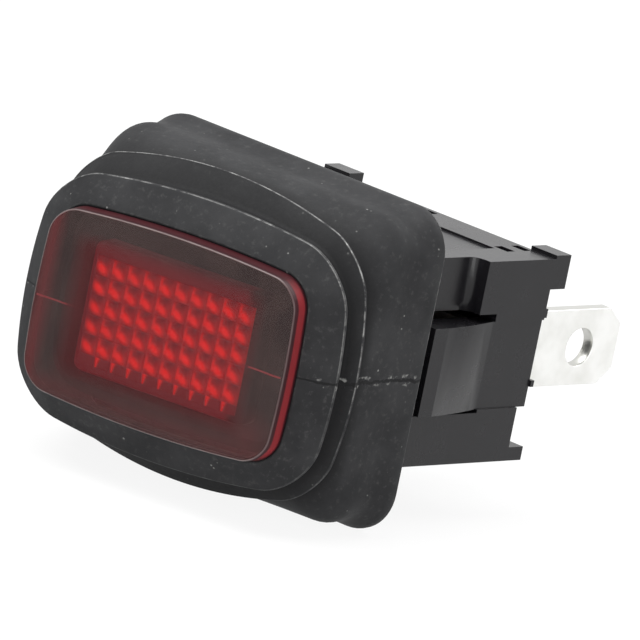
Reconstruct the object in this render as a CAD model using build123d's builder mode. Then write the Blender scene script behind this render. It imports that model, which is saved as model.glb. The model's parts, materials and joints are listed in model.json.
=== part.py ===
from build123d import *
import os
from math import cos, radians, sin

# Panel rocker switch with a rubber boot, in millimetres.
# The origin is the centre of the panel cut-out in the panel's front plane.
# +X runs along the rocker, +Z is up, and +Y goes back through the panel to the tabs.
os.makedirs("parts", exist_ok=True)

# Rocker motion, shown with its +X end pressed in
rest_tilt = 10.2
pivot_y = -1.9
pivot_pin_radius = 0.95
running_clearance = 0.05

# Housing tube behind the panel
body_half_length = 9.75
body_half_height = 6.3
body_depth = 12.9
wall_side = 1.1
wall_end_front = 2.05
wall_end_rear = 1.25
cavity_step_length = 5.6
front_cavity_half_length = body_half_length - wall_end_front
rear_cavity_half_length = body_half_length - wall_end_rear
cavity_step_y = body_depth - cavity_step_length

# Flange in front of the panel, inside the boot
flange_half_length = 11.0
flange_half_height = 8.5
flange_corner = 1.6
flange_rear_y = -1.02
flange_thickness = 2.28
flange_edge = 0.4
pin_socket_depth = 1.25

# Recess beside each snap arm
end_recess_depth = 1.1
end_recess_fillet = 0.7
end_recess_margin = 0.35
recess_overcut = 1.0
end_recess_rear_y = cavity_step_y - end_recess_margin

# Snap arms
arm_top_z = 2.5
arm_bottom_z = -2.96
arm_front_y = 2.4
arm_root_y = 8.5
arm_crest = 0.75
arm_crest_length = 1.2
arm_bulge = 0.62
arm_thickness = 1.0
arm_shoulder_length = 2.0
arm_sink = 0.14
arm_slot_top = 0.5
arm_slot_bottom = 0.2
arm_window_front_y = 0.4

# Rear lugs, feet and notches of the end walls
lug_length = 2.12
lug_reach = 1.3
lug_height = 1.9
lug_rise = 0.22
foot_height = 0.85
foot_reach = 0.5
notch_depth = 0.8
nub_places = ((2.9, 0.55, 0.2), (-1.5, 0.4, 0.28))

# Shallow field on the top wall, left bare
field_front_y = 1.4
field_depth = 0.14
field_end_margin = 2.55
field_rear_margin = 2.8
field_half_length = body_half_length - field_end_margin
field_rear_y = body_depth - field_rear_margin

# Latch windows in the top and bottom walls
latch_inset = 2.35
latch_middle_x = -0.35
latch_width = 1.1
latch_length = 0.6
latch_rear_margin = 0.35
latch_clearance = 0.06
latch_height = 0.88
pip_length = 0.7
pip_rear_margin = 1.8
pip_depth = 0.4
latch_places = (latch_inset - body_half_length, latch_middle_x, body_half_length - latch_inset)
latch_front_y = body_depth - latch_rear_margin - latch_length
pip_front_y = body_depth - pip_rear_margin - pip_length

# Plate that closes the back and carries the tabs
base_thickness = 1.85
base_sink = 0.35
base_clearance = 0.05
base_rib_height = 0.5
base_rib_width = 0.7
base_rib_inset = 1.0
base_rear_y = body_depth - base_sink
base_front_y = base_rear_y - base_thickness

# Tabs
tab_width = 4.8
tab_thickness = 0.8
tab_inset = 2.33
tab_reach = 9.6
tab_tip_chamfer_length = 1.25
tab_tip_chamfer_width = 1.1
tab_edge_chamfer = 0.12
tab_hole_radius = 1.2
tab_hole_inset = 3.5
tab_slot_clearance = 0.04
tab_shoulder = 0.5
shelf_rise = 2.1
shelf_reach = 3.52
shelf_half_width = 1.9
tab_pitch = body_half_length - tab_inset
tab_tip_y = body_depth + tab_reach
tab_hole_y = tab_tip_y - tab_hole_inset
shelf_front_y = base_front_y - shelf_rise
shelf_inner_x = tab_pitch - shelf_reach

# Contact set
fulcrum_rise = 2.1
fulcrum_ear_width = 0.45
fulcrum_ear_length = 1.0
bridge_thickness = 0.5
bridge_gap = 0.05
bridge_half_width = 1.75
bridge_left_margin = 0.8
bridge_dish = 0.25
bridge_dish_half_length = 2.0
bridge_notch_half_length = 0.7
bridge_turn_ratio = 0.8
contact_inset = 2.22
contact_radius = 1.1
moving_contact_height = 0.5
fixed_contact_height = 0.6
contact_chamfer = 0.13
fulcrum_y = shelf_front_y - fulcrum_rise
fulcrum_ear_front_y = fulcrum_y - fulcrum_ear_length
contact_x = tab_pitch - contact_inset
bridge_left_reach = contact_x + bridge_left_margin
bridge_right_reach = contact_x + contact_radius

# Rocker
rocker_front_y = -9.75
rocker_rear_y = -5.25
rocker_half_length = 8.8
rocker_half_height = 5.5
rocker_corner = 2.5
rocker_bow_ends = 0.45
rocker_bow_sides = 0.5
rocker_front_chamfer = 0.9
skirt_end_gap = 0.7
skirt_rear_y = -3.7
skirt_half_height = 4.95
skirt_corner = 0.8
pin_reach = 1.15
cheek_half_length = 3.2
cheek_rear_y = -0.2
cheek_thickness = 1.2
boss_radius = 1.9
boss_rear_y = 2.5
chamber_half_height = 3.5
chamber_rear_y = -5.3
chamber_margin = 0.5
lead_drop_inset = 1.8
skirt_half_length = front_cavity_half_length - skirt_end_gap
lead_drop_x = skirt_half_length - lead_drop_inset
chamber_half_length = lead_drop_x + chamber_margin

# Plunger and its spring
plunger_radius = 1.05
plunger_front_y = -0.9
plunger_collar_rear_y = 2.3
plunger_tip_radius = 0.9
plunger_nose_gap = 0.08
bore_front_y = -4.1
spring_wire = 0.3
spring_turns = 4
plunger_spring_radius = 0.72

# Lens with its field of small pyramids
lens_half_length = 6.25
lens_half_height = 4.0
lens_corner = 0.6
lens_clearance = 0.05
lens_front_y = -10.8
lens_rear_y = -8.8
pyramid_columns = 9
pyramid_rows = 5
pyramid_pitch_x = 1.14
pyramid_pitch_z = 1.2
pyramid_width_x = 1.06
pyramid_width_z = 1.12
pyramid_height = 0.5
pyramid_foot = 0.05

# Window of the boot
window_lens_gap = 0.06
window_shoulder_y = -10.94
window_half_length = 8.87
window_half_height = 5.5
window_corner = 1.7
window_bow_ends = 0.28
window_bow_sides = 0.5
window_draft = 0.12
window_edge = 0.3
window_pocket_half_length = 6.5
window_pocket_half_height = 4.25
window_wall = 0.75
window_clearance = 0.04
window_front_y = lens_front_y - pyramid_height - window_lens_gap - window_wall
shoulder_margin = 0.1

# Boot, ring by ring from the panel to the cap
boot_wall = 0.9
lip_half_length = 12.22
lip_half_height = 9.95
lip_corner = 2.8
lip_thickness = 0.95
lip_edge = 0.35
lip_rear_edge = 0.18
land_half_length = 10.8
land_half_height = 7.5
land_corner = 1.4
land_depth = 0.3
lip_opening_gap = 0.15
flange_pocket_gap = 0.1
base_half_length = 11.98
base_half_height = 9.5
base_corner = 2.6
base_bow = 0.05
base_front_ring_y = -3.9
crease_share = 0.4
crease_y = -6.3
crease_half_length = 10.85
crease_half_height = 7.35
crease_corner = 2.4
crease_bow_ends = 1.0
crease_bow_sides = 1.85
fold_share = 0.5
fold_y = -7.05
fold_half_length = 10.8
fold_half_height = 7.5
fold_corner = 2.4
fold_bow_ends = 1.25
fold_bow_sides = 1.95
groove_share = 0.8
groove_y = -8.25
groove_half_length = 10.0
groove_half_height = 6.6
groove_corner = 2.6
groove_bow_ends = 0.95
groove_bow_sides = 1.35
cap_y = -9.71
cap_half_length = 10.4
cap_half_height = 7.07
cap_corner = 2.9
cap_bow_ends = 0.85
cap_bow_sides = 1.1

# Lamp and its wiring in the rocker
lamp_y = -7.1
lamp_z = 1.6
lamp_radius = 1.45
lamp_left_gap = 1.6
lamp_right_gap = 1.3
lamp_neck_length = 0.8
lamp_neck_radius = 0.9
resistor_z = -1.9
resistor_radius = 0.85
resistor_inset = 1.0
resistor_length = 3.5
resistor_end_fillet = 0.3
lead_radius = 0.2
lead_gap = 0.5
lead_bend = 0.45
lead_drop_z = 3.1
lead_end_y = -3.75
lead_hole_radius = 0.32
wire_sides = 6
lamp_spring_radius = 0.9
lamp_spring_turns = 5
lamp_spring_wire = 0.32
lamp_left_x = lamp_left_gap - lead_drop_x
lamp_right_x = lead_drop_x - lamp_right_gap
resistor_left_x = lamp_left_x + resistor_inset
resistor_right_x = resistor_left_x + resistor_length

cavity_half_height = body_half_height - wall_side
plunger_nose_y = fulcrum_y - bridge_gap - bridge_thickness + bridge_dish - plunger_nose_gap
plunger_tip_y = plunger_nose_y - plunger_tip_radius


def front_plane(y):
    """Plane square to Y: local x is X, local y is Z, and its normal faces the front."""
    return Plane.XZ.offset(-y)


def rocker_plane(share, y):
    """Plane square to the rocker's front where it has turned by a share of the rest tilt."""
    turn = radians(rest_tilt * share)
    reach = y - pivot_y
    origin = (-reach * sin(turn), pivot_y + reach * cos(turn), 0)
    return Plane(origin=origin, x_dir=(cos(turn), sin(turn), 0), z_dir=(sin(turn), -cos(turn), 0))


def rocker_side_plane(z):
    """Plane of the rocker's side view at height z, its local y running to the back."""
    turn = radians(rest_tilt)
    return Plane(origin=(0, pivot_y, z), x_dir=(cos(turn), sin(turn), 0), z_dir=(0, 0, 1))


def rocker_point(x, y, z):
    """Point of the tilted rocker, given as it lies with the rocker level."""
    turn = radians(rest_tilt)
    reach = y - pivot_y
    return (x * cos(turn) - reach * sin(turn), pivot_y + x * sin(turn) + reach * cos(turn), z)


def bowed_outline(half_length, half_height, corner, bow_ends, bow_sides):
    """Rounded rectangle whose four edges bow outward."""
    with BuildSketch() as outline:
        with BuildLine():
            ThreePointArc(
                (-half_length, -half_height), (0, -half_height - bow_sides), (half_length, -half_height)
            )
            ThreePointArc(
                (half_length, -half_height), (half_length + bow_ends, 0), (half_length, half_height)
            )
            ThreePointArc(
                (half_length, half_height), (0, half_height + bow_sides), (-half_length, half_height)
            )
            ThreePointArc(
                (-half_length, half_height), (-half_length - bow_ends, 0), (-half_length, -half_height)
            )
        make_face()
        fillet(outline.vertices(), corner)
    return outline.sketch


def coil_spring(start, end, radius, wire, turns):
    """Open coil of thin wire between two points."""
    axis = Vector(*end) - Vector(*start)
    with BuildPart() as spring:
        with BuildLine() as centre_line:
            Helix(pitch=axis.length / turns, height=axis.length, radius=radius, center=start, direction=axis)
        with BuildSketch(Plane(origin=centre_line.line @ 0, z_dir=centre_line.line % 0)):
            RegularPolygon(wire / 2, wire_sides)
        sweep(is_frenet=True)
    return spring.part


def wire_lead(points, bend, radius):
    """Bent thin wire through the given points."""
    with BuildPart() as lead:
        with BuildLine() as centre_line:
            FilletPolyline(*points, radius=bend)
        with BuildSketch(Plane(origin=centre_line.line @ 0, z_dir=centre_line.line % 0)):
            RegularPolygon(radius, wire_sides)
        sweep()
    return lead.part


# Housing
with BuildPart() as housing:
    with BuildSketch(front_plane(flange_rear_y)):
        Rectangle(2 * body_half_length, 2 * body_half_height)
    extrude(amount=flange_rear_y - body_depth)
    with BuildSketch(front_plane(flange_rear_y)):
        RectangleRounded(2 * flange_half_length, 2 * flange_half_height, flange_corner)
    extrude(amount=flange_thickness)
    chamfer(housing.faces().sort_by(Axis.Y)[0].edges(), flange_edge)

    # Cavity, wider behind the end recesses
    with BuildSketch(front_plane(flange_rear_y - flange_thickness)):
        Rectangle(2 * front_cavity_half_length, 2 * cavity_half_height)
    extrude(amount=flange_rear_y - flange_thickness - body_depth, mode=Mode.SUBTRACT)
    with BuildSketch(front_plane(cavity_step_y)):
        Rectangle(2 * rear_cavity_half_length, 2 * cavity_half_height)
    extrude(amount=cavity_step_y - body_depth, mode=Mode.SUBTRACT)

    for side in (-1, 1):
        # Recess above the arm, with a rounded inner corner
        with BuildSketch(Plane.XY.offset(arm_top_z)):
            with BuildLine():
                Polyline(
                    (side * (body_half_length + recess_overcut), flange_rear_y),
                    (side * (body_half_length - end_recess_depth), flange_rear_y),
                    (side * (body_half_length - end_recess_depth), end_recess_rear_y),
                    (side * (body_half_length + recess_overcut), end_recess_rear_y),
                    close=True,
                )
            make_face()
            recess_corner = [
                v for v in vertices()
                if abs(v.Y - end_recess_rear_y) < 0.001 and abs(v.X) < body_half_length
            ]
            fillet(recess_corner, end_recess_fillet)
        extrude(amount=body_half_height - arm_top_z, mode=Mode.SUBTRACT)

        # Field sunk around the arm, and the window it bends in
        with BuildSketch(Plane.YZ.offset(side * body_half_length)):
            with Locations(((body_depth + flange_rear_y) / 2, (arm_top_z + arm_bottom_z) / 2)):
                Rectangle(body_depth - flange_rear_y, arm_top_z - arm_bottom_z)
        extrude(amount=-side * arm_sink, mode=Mode.SUBTRACT)
        window_top = arm_top_z + arm_slot_top
        window_bottom = arm_bottom_z - arm_slot_bottom
        with BuildSketch(Plane.YZ.offset(side * front_cavity_half_length)):
            with Locations(((arm_window_front_y + arm_root_y) / 2, (window_top + window_bottom) / 2)):
                Rectangle(arm_root_y - arm_window_front_y, window_top - window_bottom)
        extrude(amount=side * (body_half_length - front_cavity_half_length), mode=Mode.SUBTRACT)

        # Snap arm: a tongue that swells to its crest and ends in a square shoulder
        flush_x = body_half_length - arm_sink
        crest_x = body_half_length + arm_crest
        with BuildSketch(Plane.XY.offset(arm_bottom_z)):
            with BuildLine():
                Polyline(
                    (side * flush_x, arm_root_y + arm_crest_length),
                    (side * (flush_x - arm_thickness), arm_root_y + arm_crest_length),
                    (side * (flush_x - arm_thickness), arm_front_y + arm_thickness),
                    (side * (crest_x - arm_shoulder_length), arm_front_y),
                    (side * crest_x, arm_front_y),
                    (side * crest_x, arm_front_y + arm_crest_length),
                )
                ThreePointArc(
                    (side * crest_x, arm_front_y + arm_crest_length),
                    (
                        side * (flush_x + arm_bulge * (crest_x - flush_x)),
                        (arm_front_y + arm_crest_length + arm_root_y) / 2,
                    ),
                    (side * flush_x, arm_root_y),
                )
                Line((side * flush_x, arm_root_y), (side * flush_x, arm_root_y + arm_crest_length))
            make_face()
        extrude(amount=arm_top_z - arm_bottom_z)

        # Notch in the rear edge, foot below it and lug at the top corner
        foot_top_z = foot_height - body_half_height
        with BuildSketch(Plane.YZ.offset(side * body_half_length)):
            with Locations((body_depth - notch_depth / 2, (arm_bottom_z + foot_top_z) / 2)):
                Rectangle(notch_depth, arm_bottom_z - foot_top_z)
        extrude(amount=-side * (body_half_length - rear_cavity_half_length), mode=Mode.SUBTRACT)
        with BuildSketch(Plane.YZ.offset(side * body_half_length)):
            with Locations((body_depth + foot_reach / 2, foot_height / 2 - body_half_height)):
                Rectangle(foot_reach, foot_height)
        extrude(amount=-side * lug_length)
        with BuildSketch(Plane.YZ.offset(side * body_half_length)):
            with BuildLine():
                Polyline(
                    (body_depth, body_half_height - lug_height),
                    (body_depth + lug_reach, body_half_height - lug_height),
                    (body_depth + lug_reach, body_half_height + lug_rise),
                    (body_depth, body_half_height + lug_rise),
                    close=True,
                )
            make_face()
        extrude(amount=-side * lug_length)

        # Small nubs on the rear edge
        for nub_z, nub_height, nub_reach in nub_places:
            with BuildSketch(Plane.YZ.offset(side * body_half_length)):
                with Locations((body_depth + nub_reach / 2, nub_z)):
                    Rectangle(nub_reach, nub_height)
            extrude(amount=-side * (body_half_length - rear_cavity_half_length))

    # Bare field sunk into the top wall
    with BuildSketch(Plane.XY.offset(body_half_height)):
        with Locations((0, (field_front_y + field_rear_y) / 2)):
            Rectangle(2 * field_half_length, field_rear_y - field_front_y)
    extrude(amount=-field_depth, mode=Mode.SUBTRACT)

    # Latch windows and blind pips in both long walls
    for level in (-1, 1):
        with BuildSketch(Plane.XY.offset(level * cavity_half_height)):
            with Locations(*[(x, latch_front_y + latch_length / 2) for x in latch_places]):
                Rectangle(latch_width, latch_length)
        extrude(amount=level * wall_side, mode=Mode.SUBTRACT)
        with BuildSketch(Plane.XY.offset(level * body_half_height)):
            with Locations(*[(x, pip_front_y + pip_length / 2) for x in latch_places]):
                Rectangle(latch_width, pip_length)
        extrude(amount=-level * pip_depth, mode=Mode.SUBTRACT)

        # Blind socket for the rocker's pivot pin
        with BuildSketch(Plane.XY.offset(level * cavity_half_height)):
            with Locations((0, pivot_y)):
                Circle(pivot_pin_radius + running_clearance)
        extrude(amount=level * pin_socket_depth, mode=Mode.SUBTRACT)
housing.part.label = "housing"
export_step(housing.part, "parts/housing.step")

# Plate that closes the back of the housing
with BuildPart() as terminal_base:
    with BuildSketch(front_plane(base_front_y)):
        Rectangle(2 * (rear_cavity_half_length - base_clearance), 2 * (cavity_half_height - base_clearance))
    extrude(amount=base_front_y - base_rear_y)
    for level in (-1, 1):
        with BuildSketch(Plane.XY.offset(level * (cavity_half_height - base_clearance))):
            with Locations(*[(x, latch_front_y + latch_length / 2) for x in latch_places]):
                Rectangle(latch_width - 2 * latch_clearance, latch_length - 2 * latch_clearance)
        extrude(amount=level * latch_height)
    # Ribs across the back between the tabs
    with BuildSketch(front_plane(base_rear_y)):
        with Locations((-tab_pitch / 2, 0), (tab_pitch / 2, 0)):
            Rectangle(base_rib_width, 2 * (cavity_half_height - base_rib_inset))
    extrude(amount=-base_rib_height)
    with BuildSketch(front_plane(base_front_y)):
        with Locations((-tab_pitch, 0), (0, 0), (tab_pitch, 0)):
            Rectangle(tab_thickness + 2 * tab_slot_clearance, tab_width + 2 * tab_slot_clearance)
    extrude(amount=base_front_y - base_rear_y - base_rib_height, mode=Mode.SUBTRACT)
terminal_base.part.label = "terminal_base"
export_step(terminal_base.part, "parts/terminal_base.step")


def tab_blank(x, front_y):
    """Flat tab with a chamfered tip and a hole, from front_y to its tip."""
    with BuildPart() as blank:
        with BuildSketch(Plane.YZ.offset(x - tab_thickness / 2)):
            with BuildLine():
                Polyline(
                    (front_y, -tab_width / 2),
                    (tab_tip_y - tab_tip_chamfer_length, -tab_width / 2),
                    (tab_tip_y, tab_tip_chamfer_width - tab_width / 2),
                    (tab_tip_y, tab_width / 2 - tab_tip_chamfer_width),
                    (tab_tip_y - tab_tip_chamfer_length, tab_width / 2),
                    (front_y, tab_width / 2),
                    close=True,
                )
            make_face()
            with Locations((tab_hole_y, 0)):
                Circle(tab_hole_radius, mode=Mode.SUBTRACT)
        extrude(amount=tab_thickness)
        chamfer(blank.faces().sort_by(Axis.Y)[-1].edges().filter_by(Axis.Z), tab_edge_chamfer)
    return blank.part


# Side tabs with a shelf that carries the fixed contact or a lamp spring
side_tabs = {"terminal_load": (1, -1), "terminal_lamp": (-1, 1)}
for node_name, (side, spring_side) in side_tabs.items():
    with BuildPart() as side_tab:
        add(tab_blank(side * tab_pitch, base_front_y - tab_shoulder))
        outer_x = side * (tab_pitch + tab_thickness / 2)
        inner_x = side * (tab_pitch - tab_thickness / 2)
        # Upright between the shelf and the tab
        with BuildSketch(Plane.XY.offset(-shelf_half_width)):
            with Locations(((outer_x + inner_x) / 2, (shelf_front_y + base_front_y) / 2)):
                Rectangle(tab_thickness, base_front_y - shelf_front_y)
        extrude(amount=2 * shelf_half_width)
        # Shelf, widened on one side under the lamp spring
        seat_reach = lead_drop_z + lamp_spring_radius + lamp_spring_wire
        with BuildSketch(front_plane(shelf_front_y)):
            with Locations((side * (shelf_inner_x + tab_pitch) / 2, 0)):
                Rectangle(tab_pitch - shelf_inner_x, 2 * shelf_half_width)
            with Locations((side * lead_drop_x, spring_side * seat_reach / 2)):
                Rectangle(2 * (lamp_spring_radius + lamp_spring_wire), seat_reach)
        extrude(amount=-tab_thickness)
    side_tab.part.label = node_name
    export_step(side_tab.part, f"parts/{node_name}.step")

# Centre tab, rounded in front where the bridge rocks on it
with BuildPart() as terminal_common:
    add(tab_blank(0, base_front_y - tab_shoulder))
    with BuildSketch(Plane.XY.offset(-bridge_half_width)):
        with Locations((0, fulcrum_y + tab_thickness / 2)):
            Circle(tab_thickness / 2)
        with Locations((0, (fulcrum_y + tab_thickness / 2 + base_front_y) / 2)):
            Rectangle(tab_thickness, base_front_y - fulcrum_y - tab_thickness / 2)
    extrude(amount=2 * bridge_half_width)
    # Ears that keep the bridge in place
    for level in (-1, 1):
        with BuildSketch(Plane.XY.offset(level * bridge_half_width)):
            with Locations((0, (fulcrum_ear_front_y + fulcrum_y + tab_thickness) / 2)):
                Rectangle(tab_thickness, fulcrum_y + tab_thickness - fulcrum_ear_front_y)
        extrude(amount=-level * fulcrum_ear_width)
terminal_common.part.label = "terminal_common"
export_step(terminal_common.part, "parts/terminal_common.step")

# Fixed contact riveted on the load tab's shelf
with BuildPart() as fixed_contact:
    with BuildSketch(front_plane(shelf_front_y)):
        with Locations((contact_x, 0)):
            Circle(contact_radius)
    extrude(amount=fixed_contact_height)
    chamfer(fixed_contact.faces().sort_by(Axis.Y)[0].edges(), contact_chamfer)
fixed_contact.part.label = "fixed_contact"
export_step(fixed_contact.part, "parts/fixed_contact.step")

# Contact bridge, tilted the other way from the rocker
bridge_turn = -rest_tilt * bridge_turn_ratio
bridge_plane = Plane(
    origin=(0, fulcrum_y, 0),
    x_dir=(cos(radians(bridge_turn)), sin(radians(bridge_turn)), 0),
    z_dir=(0, 0, 1),
)
with BuildPart() as contact_bridge:
    with BuildSketch(bridge_plane.offset(-bridge_half_width)):
        bridge_top = -bridge_gap - bridge_thickness
        with BuildLine():
            Polyline(
                (-bridge_left_reach, -bridge_gap),
                (-bridge_left_reach, bridge_top),
                (-bridge_dish_half_length, bridge_top),
                (0, bridge_top + bridge_dish),
                (bridge_dish_half_length, bridge_top),
                (bridge_right_reach, bridge_top),
                (bridge_right_reach, -bridge_gap),
                close=True,
            )
        make_face()
    extrude(amount=2 * bridge_half_width)
    # Notches for the ears of the centre tab
    for level in (-1, 1):
        with BuildSketch(bridge_plane.offset(level * bridge_half_width)):
            with Locations((0, bridge_top / 2)):
                Rectangle(2 * bridge_notch_half_length, -2 * bridge_top)
        extrude(amount=-level * (fulcrum_ear_width + 2 * bridge_gap), mode=Mode.SUBTRACT)
contact_bridge.part.label = "contact_bridge"
export_step(contact_bridge.part, "parts/contact_bridge.step")

# Moving contact riveted under the bridge's +X arm
with BuildPart() as moving_contact:
    contact_plane = Plane(bridge_plane.origin, x_dir=bridge_plane.x_dir, z_dir=-bridge_plane.y_dir)
    with BuildSketch(contact_plane.offset(bridge_gap)):
        with Locations((contact_x, 0)):
            Circle(contact_radius)
    extrude(amount=-bridge_gap - moving_contact_height)
    chamfer(moving_contact.faces().sort_by(Axis.Y)[-1].edges(), contact_chamfer)
moving_contact.part.label = "moving_contact"
export_step(moving_contact.part, "parts/moving_contact.step")

# Rocker: front block, skirt, cheeks with the pivot pins, and the plunger boss
rocker_front_axis = Axis((0, pivot_y, 0), rocker_plane(1, pivot_y).z_dir)
with BuildPart() as rocker:
    with BuildSketch(rocker_plane(1, rocker_rear_y)):
        add(
            bowed_outline(
                rocker_half_length,
                rocker_half_height,
                rocker_corner,
                rocker_bow_ends,
                rocker_bow_sides,
            )
        )
    extrude(amount=rocker_rear_y - rocker_front_y)
    chamfer(rocker.faces().sort_by(rocker_front_axis)[-1].edges(), rocker_front_chamfer)
    with BuildSketch(rocker_plane(1, skirt_rear_y)):
        RectangleRounded(2 * skirt_half_length, 2 * skirt_half_height, skirt_corner)
    extrude(amount=skirt_rear_y - rocker_rear_y)
    for level in (-1, 1):
        with BuildSketch(rocker_side_plane(level * skirt_half_height)):
            with BuildLine():
                Polyline(
                    (-cheek_half_length, skirt_rear_y - pivot_y),
                    (cheek_half_length, skirt_rear_y - pivot_y),
                    (cheek_half_length / 2, cheek_rear_y - pivot_y),
                    (-cheek_half_length / 2, cheek_rear_y - pivot_y),
                    close=True,
                )
            make_face()
        extrude(amount=-level * cheek_thickness)
        with BuildSketch(rocker_side_plane(level * (skirt_half_height - cheek_thickness))):
            Circle(pivot_pin_radius)
        extrude(amount=level * (cavity_half_height + pin_reach - skirt_half_height + cheek_thickness))
    with BuildSketch(rocker_plane(1, boss_rear_y)):
        Circle(boss_radius)
    extrude(amount=boss_rear_y - skirt_rear_y)

    # Lens seat and lamp chamber from the front, plunger bore from the back
    with BuildSketch(rocker_plane(1, lens_rear_y)):
        RectangleRounded(
            2 * (lens_half_length + lens_clearance),
            2 * (lens_half_height + lens_clearance),
            lens_corner + lens_clearance,
        )
    extrude(amount=lens_rear_y - rocker_front_y, mode=Mode.SUBTRACT)
    with BuildSketch(rocker_plane(1, chamber_rear_y)):
        Rectangle(2 * chamber_half_length, 2 * chamber_half_height)
    extrude(amount=chamber_rear_y - lens_rear_y, mode=Mode.SUBTRACT)
    with BuildSketch(rocker_plane(1, boss_rear_y)):
        Circle(plunger_radius + running_clearance)
    extrude(amount=boss_rear_y - bore_front_y, mode=Mode.SUBTRACT)
    with BuildSketch(rocker_plane(1, skirt_rear_y)):
        with Locations((-lead_drop_x, lead_drop_z), (lead_drop_x, -lead_drop_z)):
            Circle(lead_hole_radius)
    extrude(amount=skirt_rear_y - chamber_rear_y, mode=Mode.SUBTRACT)
rocker.part.label = "rocker"
export_step(rocker.part, "parts/rocker.step")

# Lens with a field of four-sided pyramids
with BuildPart() as lens:
    with BuildSketch(rocker_plane(1, lens_rear_y)):
        RectangleRounded(2 * lens_half_length, 2 * lens_half_height, lens_corner)
    extrude(amount=lens_rear_y - lens_front_y)
    with BuildSketch(rocker_plane(1, lens_front_y)):
        with GridLocations(pyramid_pitch_x, pyramid_pitch_z, pyramid_columns, pyramid_rows):
            Rectangle(pyramid_width_x, pyramid_width_z)
    extrude(amount=pyramid_height)
    pyramid_tops = lens.faces().group_by(rocker_front_axis)[-1]
    chamfer(pyramid_tops.edges(), pyramid_height - pyramid_foot)
lens.part.label = "lens"
export_step(lens.part, "parts/lens.step")

# Plunger with a round nose that rides on the bridge
plunger_plane = rocker_side_plane(0)
with BuildPart() as plunger:
    with BuildSketch(plunger_plane):
        tip_v = plunger_tip_y - pivot_y
        with BuildLine():
            Polyline(
                (0, tip_v + plunger_tip_radius),
                (0, plunger_front_y - pivot_y),
                (plunger_radius, plunger_front_y - pivot_y),
                (plunger_radius, plunger_collar_rear_y - pivot_y),
                (plunger_tip_radius, plunger_collar_rear_y - pivot_y + plunger_radius - plunger_tip_radius),
                (plunger_tip_radius, tip_v),
            )
            CenterArc((0, tip_v), plunger_tip_radius, 0, 90)
        make_face()
    revolve(axis=Axis(plunger_plane.origin, plunger_plane.y_dir))
plunger.part.label = "plunger"
export_step(plunger.part, "parts/plunger.step")

plunger_spring = coil_spring(
    rocker_point(0, plunger_front_y - spring_wire / 2 - running_clearance, 0),
    rocker_point(0, bore_front_y + spring_wire / 2 + running_clearance, 0),
    plunger_spring_radius,
    spring_wire,
    spring_turns,
)
plunger_spring.label = "plunger_spring"
export_step(plunger_spring, "parts/plunger_spring.step")

# Lamp springs between the side tabs' shelves and the rocker
for node_name, side, level in (("lamp_spring_left", -1, 1), ("lamp_spring_right", 1, -1)):
    end_gap = lamp_spring_wire / 2 + running_clearance
    lamp_spring = coil_spring(
        (side * lead_drop_x, shelf_front_y - end_gap, level * lead_drop_z),
        rocker_point(side * lead_drop_x, skirt_rear_y + end_gap, level * lead_drop_z),
        lamp_spring_radius,
        lamp_spring_wire,
        lamp_spring_turns,
    )
    lamp_spring.label = node_name
    export_step(lamp_spring, f"parts/{node_name}.step")

# Glow lamp lying behind the lens
lamp_plane = Plane(rocker_point(0, lamp_y, lamp_z), x_dir=plunger_plane.x_dir, z_dir=(0, 0, 1))
with BuildPart() as lamp_bulb:
    with BuildSketch(lamp_plane):
        with BuildLine():
            Polyline(
                (lamp_right_x - lamp_radius, lamp_radius),
                (lamp_left_x + lamp_neck_length, lamp_radius),
                (lamp_left_x, lamp_neck_radius),
                (lamp_left_x, 0),
                (lamp_right_x, 0),
            )
            CenterArc((lamp_right_x - lamp_radius, 0), lamp_radius, 0, 90)
        make_face()
    revolve(axis=Axis(lamp_plane.origin, lamp_plane.x_dir))
lamp_bulb.part.label = "lamp_bulb"
export_step(lamp_bulb.part, "parts/lamp_bulb.step")

# Series resistor below the lamp
with BuildPart() as resistor:
    with BuildSketch(Plane(rocker_point(resistor_left_x, lamp_y, resistor_z), z_dir=plunger_plane.x_dir)):
        Circle(resistor_radius)
    extrude(amount=resistor_right_x - resistor_left_x)
    fillet(resistor.edges().filter_by(GeomType.CIRCLE), resistor_end_fillet)
resistor.part.label = "resistor"
export_step(resistor.part, "parts/resistor.step")

# Leads from the lamp and the resistor to the lamp springs
lead_routes = {
    "lead_left": (
        (lamp_left_x, lamp_y, lamp_z + lead_gap),
        (-lead_drop_x, lamp_y, lamp_z + lead_gap),
        (-lead_drop_x, lamp_y, lead_drop_z),
        (-lead_drop_x, lead_end_y, lead_drop_z),
    ),
    "lead_link": (
        (lamp_left_x, lamp_y, lamp_z - lead_gap),
        (lamp_left_x - 2 * lead_gap, lamp_y, lamp_z - lead_gap),
        (lamp_left_x - 2 * lead_gap, lamp_y, resistor_z),
        (resistor_left_x, lamp_y, resistor_z),
    ),
    "lead_right": (
        (resistor_right_x, lamp_y, resistor_z),
        (lead_drop_x, lamp_y, resistor_z),
        (lead_drop_x, lamp_y, -lead_drop_z),
        (lead_drop_x, lead_end_y, -lead_drop_z),
    ),
}
for node_name, route in lead_routes.items():
    lead = wire_lead([rocker_point(*point) for point in route], lead_bend, lead_radius)
    lead.label = node_name
    export_step(lead, f"parts/{node_name}.step")

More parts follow.
